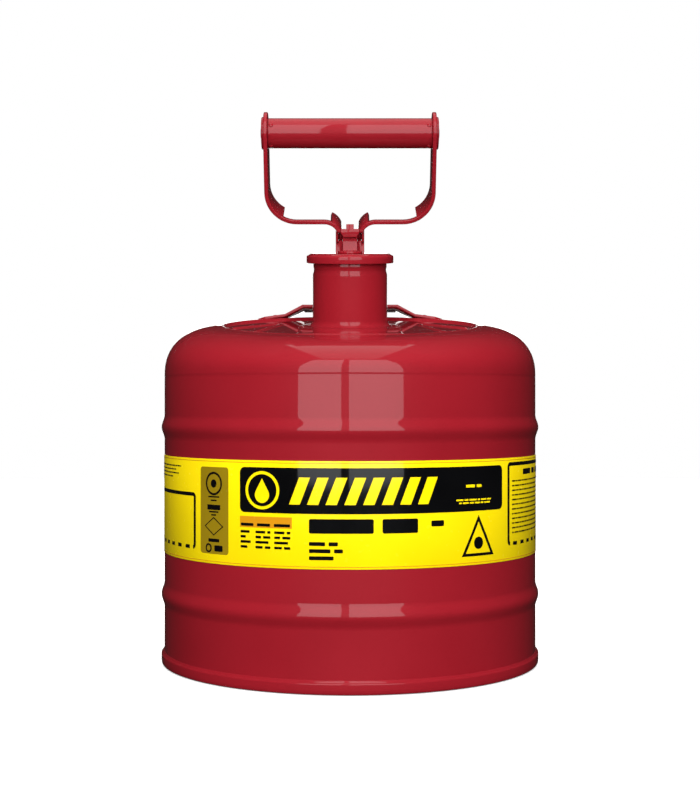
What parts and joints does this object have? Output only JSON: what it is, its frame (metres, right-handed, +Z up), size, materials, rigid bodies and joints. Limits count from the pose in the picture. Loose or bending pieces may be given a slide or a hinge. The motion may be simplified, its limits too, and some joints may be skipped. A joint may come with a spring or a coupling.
{
  "type": "safety gas can",
  "caption": "Round beaded steel safety can with a sprung self-closing cap, a flame arrester in the neck and a swinging carry handle with a tube grip.",
  "frame": {"origin": "centre of the base, on the plane the can stands on", "axes": "+Z up through the body's axis, -Y to the front, where the finger lip of the lid and the label's main panel face, +X to the right of someone facing the can"},
  "size_m": [0.2413, 0.2412, 0.3531],
  "materials": {
    "red_enamel": "gloss baked enamel",
    "zinc_steel": "zinc plated",
    "spring_steel": "bright spring wire",
    "brass": "drawn brass",
    "wire_mesh": "fine woven wire",
    "black_rubber": "matt",
    "label_print": "gloss printed film"
  },
  "bodies": {
    "can": {"body_shell": "red_enamel", "side_seam": "red_enamel", "bottom_plate": "red_enamel", "bottom_chime": "red_enamel", "top_dome": "red_enamel", "neck_tube": "red_enamel", "neck_collar": "red_enamel", "mouth_ring": "zinc_steel", "arrester_collar": "brass", "arrester_screen": "brass", "arrester_mesh": "wire_mesh", "arrester_end_cap": "brass", "hinge_yoke": "red_enamel", "pivot_pin": "zinc_steel", "handle_rest": "red_enamel", "rest_rivets": "red_enamel", "label_band": "label_print", "lid_spring": "spring_steel"},
    "handle": {"handle_arm_left": "red_enamel", "handle_arm_right": "red_enamel", "grip_tube": "red_enamel", "grip_plugs": "zinc_steel", "grip_rod": "zinc_steel", "grip_end_discs": "red_enamel", "grip_rivets": "red_enamel"},
    "lid": {"cap_shell": "red_enamel", "cap_gasket": "black_rubber", "gasket_retainer": "zinc_steel", "cap_rivet": "red_enamel", "lid_arm": "red_enamel", "arm_rivets": "red_enamel"}
  },
  "joints": [
    {"name": "handle_swing", "type": "hinge", "parent": "can", "child": "handle", "pos_m": [0, 0.031, 0.2755], "axis": [-1, 0, 0], "range_deg": [0, 142]},
    {"name": "lid_open", "type": "hinge", "parent": "can", "child": "lid", "pos_m": [0, 0.031, 0.2755], "axis": [-1, 0, 0], "range_deg": [0, 58], "stiffness_Nm_per_rad": 0.5, "springref_deg": -68.75, "deforming": ["lid_spring"]}
  ]
}
